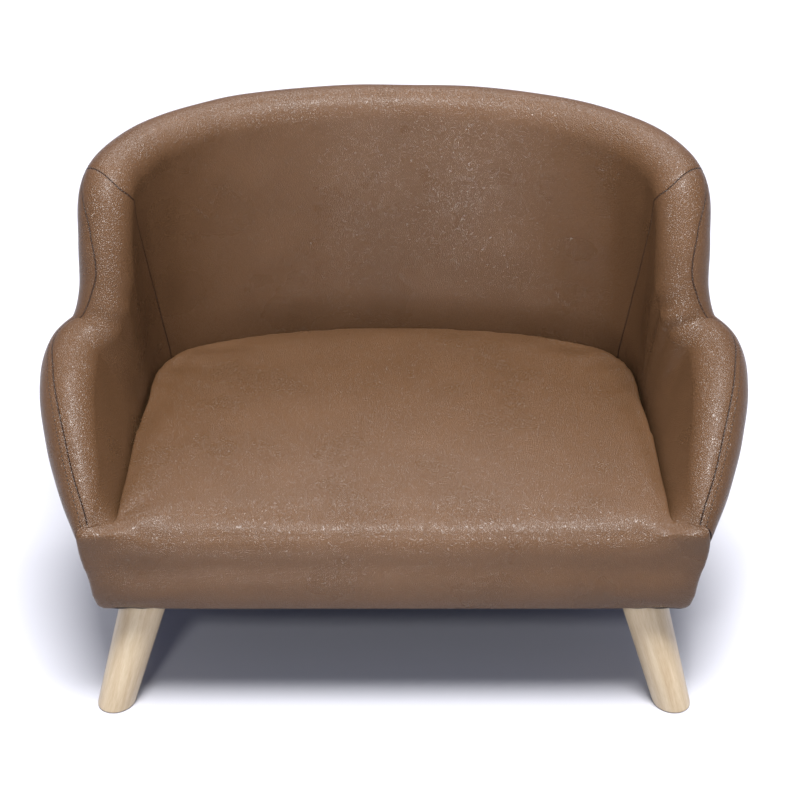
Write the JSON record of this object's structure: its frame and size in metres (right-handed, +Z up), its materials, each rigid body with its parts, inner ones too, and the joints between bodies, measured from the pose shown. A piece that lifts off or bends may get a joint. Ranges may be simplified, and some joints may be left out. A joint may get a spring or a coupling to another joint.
{
  "type": "upholstered dog sofa",
  "caption": "Small sofa-style dog bed: padded wrap-around back stepping down to flared arms, fixed padded seat with a rolled front, hidden timber frame, splayed tapered wooden legs.",
  "frame": {"origin": "middle of the bounding box, on the floor under the feet", "axes": "+X across the width, towards the right-hand arm as seen from the open front; -Y the open front; +Z up"},
  "size_m": [0.7054, 0.4963, 0.4718],
  "materials": {
    "leather": "brown fine-pebbled faux leather with a soft sheen",
    "leg_wood": "pale natural wood, clear matt lacquer",
    "timber": "planed softwood, unfinished",
    "plywood": "curved plywood, unfinished",
    "foam": "upholstery foam, open cell",
    "lining_cloth": "black non-woven lining",
    "zinc_steel": "bright zinc plate",
    "screw_steel": "yellow zinc plate",
    "staple_wire": "galvanised wire"
  },
  "bodies": {
    "root": {"leg_front_left": "leg_wood", "leg_front_right": "leg_wood", "leg_rear_left": "leg_wood", "leg_rear_right": "leg_wood", "leg_bolt_front_left": "zinc_steel", "leg_bolt_front_right": "zinc_steel", "leg_bolt_rear_left": "zinc_steel", "leg_bolt_rear_right": "zinc_steel", "tee_nut_front_left": "zinc_steel", "tee_nut_front_right": "zinc_steel", "tee_nut_rear_left": "zinc_steel", "tee_nut_rear_right": "zinc_steel", "corner_block_front_left": "timber", "corner_block_front_right": "timber", "corner_block_rear_left": "timber", "corner_block_rear_right": "timber", "front_rail": "timber", "rear_rail": "timber", "side_rail_left": "timber", "side_rail_right": "timber", "cross_slat_left": "timber", "cross_slat_middle": "timber", "cross_slat_right": "timber", "seat_deck": "plywood", "corner_batten_left": "timber", "corner_batten_right": "timber", "back_board": "plywood", "side_board_left": "plywood", "side_board_right": "plywood", "back_foam": "foam", "side_foam_left": "foam", "side_foam_right": "foam", "seat_foam": "foam", "front_foam": "foam", "inside_back_cover": "leather", "inside_cover_left": "leather", "inside_cover_right": "leather", "outside_back_cover": "leather", "outside_cover_left": "leather", "outside_cover_right": "leather", "seat_cover": "leather", "dust_cover": "lining_cloth", "deck_screws": "screw_steel", "frame_screws": "screw_steel", "board_screws": "screw_steel", "dust_cover_staples": "staple_wire"}
  },
  "joints": []
}
